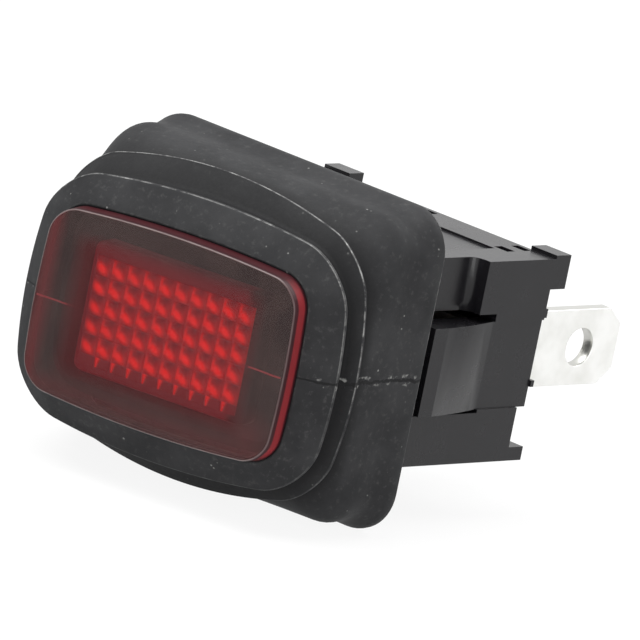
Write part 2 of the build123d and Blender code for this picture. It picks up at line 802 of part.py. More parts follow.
# Window of the boot, a tinted cap over the lens
with BuildPart() as boot_window:
    with BuildSketch(rocker_plane(1, rocker_front_y - window_clearance)):
        add(
            bowed_outline(
                window_half_length,
                window_half_height + window_draft,
                window_corner,
                window_bow_ends,
                window_bow_sides,
            )
        )
    with BuildSketch(rocker_plane(1, window_front_y)):
        add(
            bowed_outline(
                window_half_length - window_draft,
                window_half_height - window_draft,
                window_corner,
                window_bow_ends,
                window_bow_sides,
            )
        )
    loft(ruled=True)
    fillet(boot_window.faces().sort_by(rocker_front_axis)[-1].edges(), window_edge)
    with BuildSketch(rocker_plane(1, rocker_front_y - window_clearance)):
        RectangleRounded(2 * window_pocket_half_length, 2 * window_pocket_half_height, lens_corner)
    extrude(amount=rocker_front_y - window_clearance - window_front_y - window_wall, mode=Mode.SUBTRACT)
boot_window.part.label = "boot_window"
export_step(boot_window.part, "parts/boot_window.step")

# Rings of the boot as (share of tilt, y, half length, half height, corner, bow of ends, bow of sides)
base_ring = (0, base_front_ring_y, base_half_length, base_half_height, base_corner, base_bow, base_bow)
crease_ring = (
    crease_share,
    crease_y,
    crease_half_length,
    crease_half_height,
    crease_corner,
    crease_bow_ends,
    crease_bow_sides,
)
fold_ring = (
    fold_share,
    fold_y,
    fold_half_length,
    fold_half_height,
    fold_corner,
    fold_bow_ends,
    fold_bow_sides,
)
groove_ring = (
    groove_share,
    groove_y,
    groove_half_length,
    groove_half_height,
    groove_corner,
    groove_bow_ends,
    groove_bow_sides,
)
cap_ring = (1, cap_y, cap_half_length, cap_half_height, cap_corner, cap_bow_ends, cap_bow_sides)
shoulder_ring = (
    1,
    window_shoulder_y,
    window_half_length + shoulder_margin,
    window_half_height + window_draft + shoulder_margin,
    window_corner + shoulder_margin,
    window_bow_ends,
    window_bow_sides,
)
outer_rings = (base_ring, crease_ring, fold_ring, groove_ring, cap_ring, shoulder_ring)


def inner_ring(ring):
    """The same ring on the inside of the boot's wall."""
    share, y, half_length, half_height, corner, bow_ends, bow_sides = ring
    return (
        share,
        y + boot_wall,
        half_length - boot_wall,
        half_height - boot_wall,
        corner - boot_wall / 2,
        bow_ends,
        bow_sides,
    )


# Boot: lip on the panel, flared base, one fold and a cap that tilts with the rocker
with BuildPart() as boot:
    with BuildSketch(front_plane(0)):
        RectangleRounded(2 * lip_half_length, 2 * lip_half_height, lip_corner)
    extrude(amount=lip_thickness)
    fillet(boot.faces().sort_by(Axis.Y)[0].edges(), lip_edge)
    fillet(boot.faces().sort_by(Axis.Y)[-1].edges(), lip_rear_edge)
    with BuildSketch(front_plane(-lip_thickness / 2)):
        add(bowed_outline(*base_ring[2:]))
    extrude(amount=-lip_thickness / 2 - base_front_ring_y)
    for share, y, *outline in outer_rings:
        with BuildSketch(rocker_plane(share, y)):
            add(bowed_outline(*outline))
    loft(ruled=True)

    # Pocket for the flange, opening round the body and sunk face inside the sealing land
    with BuildSketch(front_plane(flange_rear_y + flange_pocket_gap / 2)):
        RectangleRounded(
            2 * (flange_half_length + flange_pocket_gap),
            2 * (flange_half_height + flange_pocket_gap),
            flange_corner,
        )
    extrude(amount=flange_rear_y + flange_pocket_gap / 2 - base_front_ring_y - boot_wall, mode=Mode.SUBTRACT)
    with BuildSketch(front_plane(0)):
        Rectangle(2 * (body_half_length + lip_opening_gap), 2 * (body_half_height + lip_opening_gap))
    extrude(amount=2 * lip_thickness, mode=Mode.SUBTRACT)
    with BuildSketch(front_plane(0)):
        RectangleRounded(2 * land_half_length, 2 * land_half_height, land_corner)
    extrude(amount=land_depth, mode=Mode.SUBTRACT)

    # Hollow that follows the rings, and the opening for the window
    for share, y, *outline in [inner_ring(ring) for ring in outer_rings]:
        with BuildSketch(rocker_plane(share, y)):
            add(bowed_outline(*outline))
    loft(ruled=True, mode=Mode.SUBTRACT)
    with BuildSketch(rocker_plane(1, rocker_front_y)):
        add(
            bowed_outline(
                window_half_length + window_clearance,
                window_half_height + window_draft + window_clearance,
                window_corner,
                window_bow_ends,
                window_bow_sides,
            )
        )
    extrude(amount=rocker_front_y - window_front_y, mode=Mode.SUBTRACT)
boot.part.label = "boot"
export_step(boot.part, "parts/boot.step")
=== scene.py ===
import json
import math

import bpy
from mathutils import Matrix, Vector


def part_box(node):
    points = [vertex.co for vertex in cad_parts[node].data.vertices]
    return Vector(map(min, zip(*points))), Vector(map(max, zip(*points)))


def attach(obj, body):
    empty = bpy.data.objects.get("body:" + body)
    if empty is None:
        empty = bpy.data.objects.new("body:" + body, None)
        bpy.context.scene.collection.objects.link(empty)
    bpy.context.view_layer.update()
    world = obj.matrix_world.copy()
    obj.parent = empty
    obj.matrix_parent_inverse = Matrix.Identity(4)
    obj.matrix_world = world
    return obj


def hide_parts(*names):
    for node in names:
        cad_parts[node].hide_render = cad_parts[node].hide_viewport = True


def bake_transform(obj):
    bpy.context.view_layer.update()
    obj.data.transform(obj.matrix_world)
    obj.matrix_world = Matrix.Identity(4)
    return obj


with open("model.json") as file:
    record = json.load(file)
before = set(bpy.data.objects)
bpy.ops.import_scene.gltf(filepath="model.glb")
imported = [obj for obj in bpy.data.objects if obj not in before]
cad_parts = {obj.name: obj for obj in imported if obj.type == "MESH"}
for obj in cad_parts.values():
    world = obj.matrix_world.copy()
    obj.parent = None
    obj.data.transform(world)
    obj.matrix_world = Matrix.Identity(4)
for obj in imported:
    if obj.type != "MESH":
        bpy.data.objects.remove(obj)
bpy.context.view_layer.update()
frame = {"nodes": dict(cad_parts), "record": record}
mm = 0.001
print("frame loaded:", len(frame["nodes"]), "nodes")

# Tilt of the rocker as it stands, in degrees, and the y of its pins, in millimetres
tilt = {"rest": 10.2, "pivotY": -1.9}


# Shader maths: a wrapped socket that understands + - * and /
class Wire:
    def __init__(self, graph, socket):
        self.graph = graph
        self.socket = socket

    def __add__(self, other):
        return self.graph.maths("ADD", self, other)

    def __radd__(self, other):
        return self.graph.maths("ADD", other, self)

    def __sub__(self, other):
        return self.graph.maths("SUBTRACT", self, other)

    def __rsub__(self, other):
        return self.graph.maths("SUBTRACT", other, self)

    def __mul__(self, other):
        return self.graph.maths("MULTIPLY", self, other)

    def __rmul__(self, other):
        return self.graph.maths("MULTIPLY", other, self)

    def __truediv__(self, other):
        return self.graph.maths("DIVIDE", self, other)

    def __rtruediv__(self, other):
        return self.graph.maths("DIVIDE", other, self)

    def abs(self):
        return self.graph.maths("ABSOLUTE", self)


# The nodes of a new material, or of a new world
class Graph:
    def __init__(self, name, store=None, output="ShaderNodeOutputMaterial"):
        self.owner = (bpy.data.materials if store is None else store).new(name)
        self.owner.use_nodes = True
        self.tree = self.owner.node_tree
        self.tree.nodes.clear()
        self.output = self.tree.nodes.new(output)

    # One way to make any node: type, settings, sockets, and the output that is wanted
    def node(self, kind, settings=None, sockets=None, output=0):
        made = self.tree.nodes.new(kind)
        for name, value in (settings or {}).items():
            setattr(made, name, value)
        for name, value in (sockets or {}).items():
            self.plug(made.inputs[name], value)
        return Wire(self, made.outputs[output])

    def plug(self, socket, value):
        if isinstance(value, Wire):
            self.tree.links.new(value.socket, socket)
        elif hasattr(value, "__len__") and len(value) == 3 and socket.type == "RGBA":
            socket.default_value = (*value, 1.0)
        else:
            socket.default_value = value

    def maths(self, operation, first, second=None, clamp=False):
        sockets = {0: first} if second is None else {0: first, 1: second}
        return self.node("ShaderNodeMath", {"operation": operation, "use_clamp": clamp}, sockets)

    def mixColour(self, share, first, second):
        settings = {"data_type": "RGBA", "blend_type": "MIX", "clamp_factor": True}
        return self.node("ShaderNodeMix", settings, {0: share, 6: first, 7: second}, 2)

    # 0 below low, 1 above high, smooth in between
    def step(self, value, low, high):
        settings = {"interpolation_type": "SMOOTHSTEP", "clamp": True}
        sockets = {"Value": value, "From Min": low, "From Max": high, "To Min": 0.0, "To Max": 1.0}
        return self.node("ShaderNodeMapRange", settings, sockets)

    def noise(self, place, scale, detail=3.0, roughness=0.55):
        sockets = {"Vector": place, "Scale": scale, "Detail": detail, "Roughness": roughness}
        return self.node("ShaderNodeTexNoise", None, sockets, "Fac")

    def place(self):
        return self.node("ShaderNodeTexCoord", None, None, "Object")

    # X, Y or Z of a place
    def axis(self, place, letter):
        return self.node("ShaderNodeSeparateXYZ", None, {"Vector": place}, letter)

    def attribute(self, name):
        return self.node("ShaderNodeAttribute", {"attribute_name": name}, None, "Fac")

    # 1 between two places: a smooth step up over the first range, and one down over the second
    def between(self, value, rise, fall):
        return self.step(value, *rise) * (1 - self.step(value, *fall))

    # Patches of noise that fade in over a range
    def patches(self, place, look):
        return self.step(self.noise(place, *look["pattern"]), *look["fade"])

    # A line's waver to both sides, its reach in millimetres
    def waver(self, place, look):
        return (self.noise(place, *look["pattern"]) - 0.5) * (look["reach"] * mm)

    def bump(self, height, strength, distance):
        return self.node("ShaderNodeBump", None, {"Height": height, "Strength": strength, "Distance": distance})

    # 1 for the named kinds of ray, 0 for all others
    def rays(self, *names):
        seen = None
        for name in names:
            ray = self.node("ShaderNodeLightPath", None, None, name)
            seen = ray if seen is None else self.maths("MAXIMUM", seen, ray)
        return seen

    def show(self, shader):
        self.tree.links.new(shader.socket, self.output.inputs["Surface"])
        return self.owner

    def finish(self, **sockets):
        names = {
            "colour": "Base Color",
            "roughness": "Roughness",
            "metallic": "Metallic",
            "normal": "Normal",
            "alpha": "Alpha",
            "specular": "Specular IOR Level",
            "glow": "Emission Color",
            "glowStrength": "Emission Strength",
        }
        return self.show(self.node("ShaderNodeBsdfPrincipled", None, {names[k]: v for k, v in sockets.items()}))


# Settings of the materials: a pattern is the scale, detail and perhaps roughness of a noise, a fade is
# the range of a smooth step, a share is how much of a colour is laid on, and a bump is its strength
# and its height in metres.

# Rubber of the boot: dull black, dusty, lighter on its thin edges with wear and a painted highlight, with
# painted shade in its grooves and a parting line round its middle
rubber = {
    "dark": (0.0135, 0.0137, 0.0148),
    "light": (0.023, 0.0232, 0.0245),
    "dust": (0.26, 0.26, 0.25),
    # The edge colour is rubbed wear and a painted highlight on the thin edges
    "edge": (0.36, 0.36, 0.35),
    # The next colour is painted shade in the grooves between the folds, and also the dark of the parting line
    "grooveShadeAndSeam": (0.004, 0.004, 0.0045),
    "roughness": 0.66,
    "roughnessSpread": 0.18,
    "specular": 0.17,
    "cloud": {"pattern": (260, 4), "fade": (0.36, 0.68)},
    "grain": {"pattern": (5200, 2)},
    "bloom": {"pattern": (2600, 4, 0.7), "fade": (0.52, 0.78), "share": 0.10},
    "specks": {"scale": 1700, "fade": (0.06, 0.15), "share": 0.6},
    "dustyAreas": {"pattern": (800, 2), "fade": (0.56, 0.62)},
    "longRubs": {"pattern": (1300, 4, 0.65), "fade": (0.34, 0.62), "share": 0.8},
    "shortRubs": {"pattern": (2300, 3, 0.65), "fade": (0.56, 0.66), "share": 0.5},
    "wearAndHighlightShare": 0.8,
    "lipFade": (10.9, 11.7),
    "seam": {"z": -0.05, "halfWidth": 0.055, "widerAtLip": 0.8, "fade": (0.6, 1.3), "share": 0.8},
    "waver": {"pattern": (420, 2), "reach": 0.16},
    "lipWaver": {"pattern": (1500, 3), "reach": 0.5},
    "flecks": {"pattern": (1900, 3), "moreAtLip": 0.06, "fade": (0.60, 0.70)},
    "shaving": {"rise": (1.0, 1.8), "fall": (2.4, 3.6), "share": 0.5},
    "heights": {"grain": 0.35, "cloud": 0.5, "specks": 0.6, "seam": 2.5, "shaving": 1.5},
    "bump": (0.35, 0.00004),
}


def makeRubber():
    g = Graph("bootRubber")
    place = g.place()
    cloud = g.noise(place, *rubber["cloud"]["pattern"])
    grain = g.noise(place, *rubber["grain"]["pattern"])
    colour = g.mixColour(g.step(cloud, *rubber["cloud"]["fade"]), rubber["dark"], rubber["light"])
    # Fine pale dust that lies over the whole skin
    bloom = g.patches(place, rubber["bloom"])
    colour = g.mixColour(bloom * rubber["bloom"]["share"], colour, rubber["dust"])
    # Specks of dust, few and of different size
    spots = {"Vector": place, "Scale": rubber["specks"]["scale"]}
    fromSpot = g.node("ShaderNodeTexVoronoi", {"feature": "F1"}, spots, "Distance")
    specks = (1 - g.step(fromSpot, *rubber["specks"]["fade"])) * g.patches(place, rubber["dustyAreas"])
    colour = g.mixColour(specks * rubber["specks"]["share"], colour, rubber["dust"])
    # Painted shade: the grooves between the folds are darkened where shade falls in them
    colour = g.mixColour(g.attribute("paintedGrooveShade"), colour, rubber["grooveShadeAndSeam"])
    # Thin edges are lighter, in long rubs with short bright ones among them: rubbed wear, and a painted
    # highlight where light catches the edges
    rubs = g.patches(place, rubber["longRubs"]) * rubber["longRubs"]["share"]
    rubs = rubs + g.patches(place, rubber["shortRubs"]) * rubber["shortRubs"]["share"]
    wornAndLit = g.attribute("edgeWearAndHighlight") * rubs
    colour = g.mixColour(wornAndLit * rubber["wearAndHighlightShare"], colour, rubber["edge"])
    # Parting line, wavy and rougher near the lip, with a pale shaving here and there
    line = rubber["seam"]
    nearLip = g.step(g.axis(place, "X").abs() / mm, *rubber["lipFade"])
    waver = g.waver(place, rubber["waver"]) + g.waver(place, rubber["lipWaver"]) * nearLip
    fromSeam = (g.axis(place, "Z") - line["z"] * mm + waver).abs()
    fromSeam = fromSeam / (1 + nearLip * line["widerAtLip"]) / (line["halfWidth"] * mm)
    seam = 1 - g.step(fromSeam, *line["fade"])
    flecks = g.noise(place, *rubber["flecks"]["pattern"]) + nearLip * rubber["flecks"]["moreAtLip"]
    flecks = g.step(flecks, *rubber["flecks"]["fade"])
    shaving = g.between(fromSeam, rubber["shaving"]["rise"], rubber["shaving"]["fall"]) * flecks
    colour = g.mixColour(seam * line["share"], colour, rubber["grooveShadeAndSeam"])
    colour = g.mixColour(shaving * rubber["shaving"]["share"], colour, rubber["dust"])
    heights = rubber["heights"]
    height = grain * heights["grain"] + cloud * heights["cloud"] + specks * heights["specks"]
    height = height - seam * heights["seam"] + shaving * heights["shaving"]
    return g.finish(
        colour=colour,
        roughness=rubber["roughness"] + (grain - 0.5) * rubber["roughnessSpread"],
        normal=g.bump(height, *rubber["bump"]),
        specular=rubber["specular"],
    )


# Moulded black nylon of the housing, with faint scuffs
nylon = {
    "dark": (0.0050, 0.0047, 0.0058),
    "light": (0.0095, 0.0090, 0.0105),
    "scuff": (0.10, 0.10, 0.10),
    "roughness": 0.27,
    "roughnessSpread": 0.12,
    "specular": 0.33,
    "cloud": {"pattern": (170, 4)},
    "grain": {"pattern": (4200, 2)},
    "scuffs": {"pattern": (700, 5, 0.7), "fade": (0.62, 0.8), "share": 0.12, "roughness": 0.2},
    "bump": (0.25, 0.00002),
}


def makeNylon():
    g = Graph("blackNylon")
    place = g.place()
    cloud = g.noise(place, *nylon["cloud"]["pattern"])
    grain = g.noise(place, *nylon["grain"]["pattern"])
    scuffs = g.patches(place, nylon["scuffs"])
    colour = g.mixColour(cloud, nylon["dark"], nylon["light"])
    roughness = nylon["roughness"] + (cloud - 0.5) * nylon["roughnessSpread"]
    return g.finish(
        colour=g.mixColour(scuffs * nylon["scuffs"]["share"], colour, nylon["scuff"]),
        roughness=roughness + scuffs * nylon["scuffs"]["roughness"],
        normal=g.bump(grain, *nylon["bump"]),
        specular=nylon["specular"],
    )


# Bright tin plate of the tabs, brushed along the strip
tin = {
    "light": (0.88, 0.88, 0.86),
    "dull": (0.74, 0.74, 0.71),
    "cut": (0.50, 0.50, 0.47),
    "roughness": 0.34,
    "roughnessSpread": 0.16,
    "metallic": 0.9,
    "cloud": {"pattern": (420, 3), "fade": (0.3, 0.8)},
    "brush": {"pattern": (5200, 3), "stretch": (1.0, 0.08, 1.0)},
    "sheared": {"fade": (0.3, 0.8), "share": 0.8},
    "bump": (0.18, 0.00001),
}


def makeTin():
    g = Graph("tinPlate")
    place = g.place()
    cloud = g.noise(place, *tin["cloud"]["pattern"])
    stretch = g.node("ShaderNodeMapping", None, {"Vector": place, "Scale": tin["brush"]["stretch"]})
    brushed = g.noise(stretch, *tin["brush"]["pattern"])
    colour = g.mixColour(g.step(cloud, *tin["cloud"]["fade"]), tin["light"], tin["dull"])
    # The sheared edges of the strip are duller than its faces
    facing = g.node("ShaderNodeNewGeometry", None, None, "True Normal")
    sheared = 1 - g.step(g.axis(facing, "X").abs(), *tin["sheared"]["fade"])
    return g.finish(
        colour=g.mixColour(sheared * tin["sheared"]["share"], colour, tin["cut"]),
        roughness=tin["roughness"] + (cloud - 0.5) * tin["roughnessSpread"],
        metallic=tin["metallic"],
        normal=g.bump(brushed, *tin["bump"]),
    )


# Pieces that hardly show have a plain colour with darker patches
plainMetal = {"pattern": (900, 3), "darker": 0.6, "share": 0.5, "roughnessSpread": 0.2, "metallic": 1.0}
plainMoulding = {"pattern": (700, 3), "darker": 0.75, "share": 0.6, "roughnessSpread": 0.1, "metallic": 0.0}


def makePlain(kind, name, colour, roughness):
    g = Graph(name)
    cloud = g.noise(g.place(), *kind["pattern"])
    return g.finish(
        colour=g.mixColour(cloud * kind["share"], colour, tuple(kind["darker"] * c for c in colour)),
        roughness=roughness + (cloud - 0.5) * kind["roughnessSpread"],
        metallic=kind["metallic"],
    )


# Red lens, painted with its light: it glows though it is no lamp, bright in painted highlights on its pyramids,
# dark maroon elsewhere and near black at its right rim
lensLook = {
    # The bright colour is the painted highlight; all of these colours glow
    "bright": (0.93, 0.012, 0.010),
    "dark": (0.125, 0.007, 0.010),
    "rim": (0.105, 0.007, 0.011),
    "shade": (0.006, 0.001, 0.001),
    "unlit": (0.0, 0.0, 0.0),
    "mottle": {"pattern": (1500, 2), "paintedShine": (0.72, 0.45)},
    "glowShare": 0.82,
    "glowStrength": 0.92,
    "roughness": 0.35,
    "roughnessSpread": 0.2,
    "specular": 0.2,
}


def makeLens():
    g = Graph("redLens")
    mottle = g.noise(g.place(), *lensLook["mottle"]["pattern"])
    leastShine, shineSpread = lensLook["mottle"]["paintedShine"]
    paintedShine = g.attribute("paintedShine") * (leastShine + mottle * shineSpread)
    colour = g.mixColour(g.attribute("fieldShare"), lensLook["rim"], lensLook["dark"])
    colour = g.mixColour(g.attribute("shadeShare"), colour, lensLook["shade"])
    # Painted highlights on the pyramids
    colour = g.mixColour(paintedShine, colour, lensLook["bright"])
    # The lens glows in these colours, though it is no lamp
    return g.finish(
        colour=g.mixColour(lensLook["glowShare"], colour, lensLook["unlit"]),
        roughness=lensLook["roughness"] + mottle * lensLook["roughnessSpread"],
        glow=colour,
        glowStrength=lensLook["glowStrength"],
        specular=lensLook["specular"],
    )


# Smoky red window: a brown haze in front that is painted red over the lens, walls with a painted red glow, and
# a painted highlight as a pale hair line round the edge of the front. The haze shares say how much of what lies
# behind the haze hides.
windowLook = {
    "haze": (0.046, 0.028, 0.026),
    "hazeDark": (0.033, 0.020, 0.019),
    "hazeShare": 0.72,
    # Over the lens: the red painted on the haze for the lens's light, how much the haze hides there, and where
    # and how strongly the red is laid on
    "redHaze": (0.130, 0.018, 0.020),
    "redHazeShare": 0.42,
    "redLength": {"half": 6.3, "fade": (-0.9, 0.9)},
    "redHeight": {"half": 4.2, "fade": (-0.8, 0.5)},
    "redShare": 0.8,
    # The red of the painted light inside the front near the walls, also the tone of the pocket's inside
    "warm": (0.125, 0.018, 0.020),
    # The wall's painted red glow, and the wall without it
    "wall": (0.170, 0.015, 0.019),
    "wallDark": (0.028, 0.005, 0.007),
    # The pale hair line of painted highlight on the rounded edge of the front
    "edge": (0.135, 0.105, 0.102),
    "seam": (0.15, 0.018, 0.021),
    "cloud": {"pattern": (420, 4), "fade": (0.35, 0.7)},
    "streak": {"z": -0.05, "fade": (0.03, 0.09), "share": 0.75, "hides": 0.2},
    "waver": {"pattern": (380, 2), "reach": 0.18},
    # Where along the wall the band of painted light rises and falls
    "wallLightBand": {"rise": (0.08, 0.24), "fall": (0.60, 0.74)},
    "frontFade": (0.99, 1.06),
    # Where the hair line of painted highlight lies on the edge, and its patchiness
    "rim": {"rise": (0.925, 0.96), "fall": (0.99, 1.03), "pattern": (700, 3), "patchy": (0.35, 0.85)},
    "rimByGlow": (1.1, 0.45),
    "roughness": 0.36,
    "roughnessSpread": 0.15,
    "specular": 0.22,
    "bump": (0.10, 0.00003),
    "inside": {"pattern": (500, 2), "alpha": 0.01, "roughness": 0.6, "specular": 0.02},
}


# Distance along the rocker's front from its middle
def rockerAlong(g, place):
    turn = math.radians(tilt["rest"])
    rockerSide = (math.cos(turn), math.sin(turn), 0.0)
    along = g.node("ShaderNodeVectorMath", {"operation": "DOT_PRODUCT"}, {0: place, 1: rockerSide}, "Value")
    return along - tilt["pivotY"] * math.sin(turn) * mm


def makeWindow():
    g = Graph("smokyWindow")
    place = g.place()
    wall = g.attribute("wallShare")  # 0 at the foot of the wall, 1 at its front edge, above 1.1 on the front
    glow = g.attribute("wallGlow")
    cloud = g.noise(place, *windowLook["cloud"]["pattern"])
    front = g.mixColour(g.step(cloud, *windowLook["cloud"]["fade"]), windowLook["haze"], windowLook["hazeDark"])
    # Over the lens the haze is painted red, standing in for the lens's light
    z = g.axis(place, "Z")
    pastEnd = rockerAlong(g, place).abs() / mm - windowLook["redLength"]["half"]
    pastSide = z.abs() / mm - windowLook["redHeight"]["half"]
    nearLens = 1 - g.step(pastEnd, *windowLook["redLength"]["fade"])
    nearLens = nearLens * (1 - g.step(pastSide, *windowLook["redHeight"]["fade"]))
    front = g.mixColour(nearLens * windowLook["redShare"], front, windowLook["redHaze"])
    # Painted red light near the walls inside the front
    front = g.mixColour(g.attribute("paintedLightNearWalls"), front, windowLook["warm"])
    # The parting line shows as a red streak from each end of the front to the lens
    line = windowLook["streak"]
    fromSeam = (z - line["z"] * mm + g.waver(place, windowLook["waver"])).abs() / mm
    streak = (1 - g.step(fromSeam, *line["fade"])) * g.attribute("streakShare")
    front = g.mixColour(streak * line["share"], front, windowLook["seam"])
    # Painted red light runs as a band along the wall, where the wall glows
    wallLightBand = g.between(wall, windowLook["wallLightBand"]["rise"], windowLook["wallLightBand"]["fall"]) * glow
    side = g.mixColour(wallLightBand, windowLook["wallDark"], windowLook["wall"])
    onFront = g.step(wall, *windowLook["frontFade"])
    colour = g.mixColour(onFront, side, front)
    # Painted highlight: the rounded edge catches light as a pale hair line, patchy and less where the wall
    # glows
    edge = windowLook["rim"]
    least, spread = edge["patchy"]
    unlit, less = windowLook["rimByGlow"]
    rim = g.between(wall, edge["rise"], edge["fall"])
    rim = rim * (least + g.noise(place, *edge["pattern"]) * spread) * (unlit - glow * less)
    colour = g.mixColour(rim, colour, windowLook["edge"])
    share = windowLook["hazeShare"] + (windowLook["redHazeShare"] - windowLook["hazeShare"]) * nearLens
    solid = 1.0 + (share - 1.0) * onFront + streak * line["hides"]
    return g.finish(
        colour=colour,
        alpha=g.maths("MULTIPLY", solid, 1.0, clamp=True),
        roughness=windowLook["roughness"] + (cloud - 0.5) * windowLook["roughnessSpread"],
        normal=g.bump(cloud, *windowLook["bump"]),
        specular=windowLook["specular"],
    )


# The pocket behind the front is nearly clear, as the haze already shades what lies behind it
def makeWindowInside():
    g = Graph("windowInside")
    look = windowLook["inside"]
    cloud = g.noise(g.place(), *look["pattern"])
    colour = g.mixColour(cloud, windowLook["warm"], windowLook["wallDark"])
    return g.finish(colour=colour, alpha=look["alpha"], roughness=look["roughness"], specular=look["specular"])


def setMaterial(thing, *materials):
    thing.data.materials.clear()
    for material in materials:
        thing.data.materials.append(material)


looks = {
    "boot_rubber": makeRubber(),
    "nylon_black": makeNylon(),
    "tinned_brass": makeTin(),
    "lens_red": makeLens(),
    "window_tint": makeWindow(),
    "contact_silver": makePlain(plainMetal, "contactSilver", (0.85, 0.85, 0.83), 0.3),
    "spring_steel": makePlain(plainMetal, "springSteel", (0.55, 0.55, 0.55), 0.35),
    "lead_wire": makePlain(plainMetal, "leadWire", (0.65, 0.62, 0.55), 0.35),
    "bridge_copper": makePlain(plainMetal, "bridgeCopper", (0.75, 0.45, 0.28), 0.35),
    "lamp_glass": makePlain(plainMoulding, "lampGlass", (0.75, 0.62, 0.55), 0.12),
    "resistor_body": makePlain(plainMoulding, "resistorBody", (0.50, 0.36, 0.22), 0.45),
    "plunger_nylon": makePlain(plainMoulding, "naturalNylon", (0.75, 0.75, 0.70), 0.4),
}
for part in frame["record"]["subparts"]:
    setMaterial(frame["nodes"][part["node"]], looks[part["material_slot"]])
# The rocker is a duller black than the housing, so that the window stays dark round the lens
setMaterial(frame["nodes"]["rocker"], makePlain(plainMoulding, "rockerNylon", (0.008, 0.0075, 0.008), 0.75))
print("materials made:", len(looks))

# Moulded and stamped pieces get small rounded edges over the solids' own faces, widths in millimetres
edgeRounding = {
    "widths": {
        "housing": 0.10,
        "terminal_base": 0.06,
        "rocker": 0.08,
        "terminal_load": 0.05,
        "terminal_common": 0.05,
        "terminal_lamp": 0.05,
    },
    "weldDistance": 0.002,
    "segments": 2,
    "sharperThan": 35,
}
for name, width in edgeRounding["widths"].items():
    node = frame["nodes"][name]
    weld = node.modifiers.new("weld", "WELD")
    weld.merge_threshold = edgeRounding["weldDistance"] * mm
    bevel = node.modifiers.new("edges", "BEVEL")
    bevel.width = width * mm
    bevel.segments = edgeRounding["segments"]
    bevel.limit_method = "ANGLE"
    bevel.angle_limit = math.radians(edgeRounding["sharperThan"])
    bevel.harden_normals = True
print("edges rounded:", len(edgeRounding["widths"]))

# Points round a quarter of a ring: half an end, a corner and half a long side
ringSteps = {"halfEnd": 16, "corner": 12, "halfSide": 24}


def quarterRing(halfLength, halfHeight, corner):
    flatEnd = halfHeight - corner
    flatSide = halfLength - corner
    points = [(halfLength, flatEnd * i / ringSteps["halfEnd"]) for i in range(ringSteps["halfEnd"])]
    for i in range(ringSteps["corner"]):
        angle = math.pi / 2 * i / ringSteps["corner"]
        points.append((flatSide + corner * math.cos(angle), flatEnd + corner * math.sin(angle)))
    points += [(flatSide * (1 - i / ringSteps["halfSide"]), halfHeight) for i in range(ringSteps["halfSide"])]
    return points


# A whole ring in its own plane, in millimetres, its edges bowed outward
def ringPoints(halfLength, halfHeight, corner, bowEnds=0.0, bowSides=0.0):
    quarter = quarterRing(halfLength, halfHeight, corner)
    left = [(-x, z) for x, z in reversed(quarter)]
    upper = quarter + [(0.0, halfHeight)] + left
    lower = [(x, -z) for x, z in reversed(upper[1:-1])]
    return [
        (
            x + bowEnds * (1 - (z / halfHeight) ** 2) * x / halfLength,
            z + bowSides * (1 - (x / halfLength) ** 2) * z / halfHeight,
        )
        for x, z in upper + lower
    ]


# Where a point of a turned plane lies: share 0 is the panel's plane, 1 the rocker's
def turned(share, x, y, z):
    turn = math.radians(tilt["rest"] * share)
    reach = y - tilt["pivotY"]
    return Vector((
        x * math.cos(turn) - reach * math.sin(turn),
        tilt["pivotY"] + x * math.sin(turn) + reach * math.cos(turn),
        z,
    )) * mm


# Where a point lies on the rocker's front, in millimetres
def rockerPlace(point):
    turn = math.radians(tilt["rest"])
    return point.x / mm * math.cos(turn) + (point.y / mm - tilt["pivotY"]) * math.sin(turn), point.z / mm


def limited(value):
    return min(1.0, max(0.0, value))


# Rounds the corners of a closed path of points; each corner has its own cut, in millimetres
def softPath(points, cuts, steps):
    longestCut = 0.48  # of the way to the next corner
    made = []
    for i, point in enumerate(points):
        before = points[i - 1] - point
        after = points[(i + 1) % len(points)] - point
        start = point + before.normalized() * min(cuts[i] * mm, longestCut * before.length)
        end = point + after.normalized() * min(cuts[i] * mm, longestCut * after.length)
        for k in range(steps[i] + 1):
            t = k / steps[i]
            made.append(start * (1 - t) ** 2 + point * 2 * t * (1 - t) + end * t ** 2)
    return made


def addMesh(name, vertices, faces):
    mesh = bpy.data.meshes.new(name)
    mesh.from_pydata(vertices, [], faces)
    mesh.update()
    made = bpy.data.objects.new(name, mesh)
    bpy.context.scene.collection.objects.link(made)
    return made


# Faces between rings of equal length: closed joins the last ring to the first, else both ends are capped
def ringFaces(rings, closed=False):
    count = len(rings[0])
    faces = []
    for r in range(len(rings) if closed else len(rings) - 1):
        a = r * count
        b = (r + 1) % len(rings) * count
        for i in range(count):
            j = (i + 1) % count
            faces.append((a + i, b + i, b + j, a + j))
    if not closed:
        last = (len(rings) - 1) * count
        faces.append(tuple(range(count)))
        faces.append(tuple(last + i for i in reversed(range(count))))
    return faces


def meshFromRings(name, rings, closed=False):
    return addMesh(name, [v for ring in rings for v in ring], ringFaces(rings, closed))


def smoothShade(thing):
    for face in thing.data.polygons:
        face.use_smooth = True


def addPointValues(thing, name, values):
    layer = thing.data.attributes.new(name, "FLOAT", "POINT")
    layer.data.foreach_set("value", values)
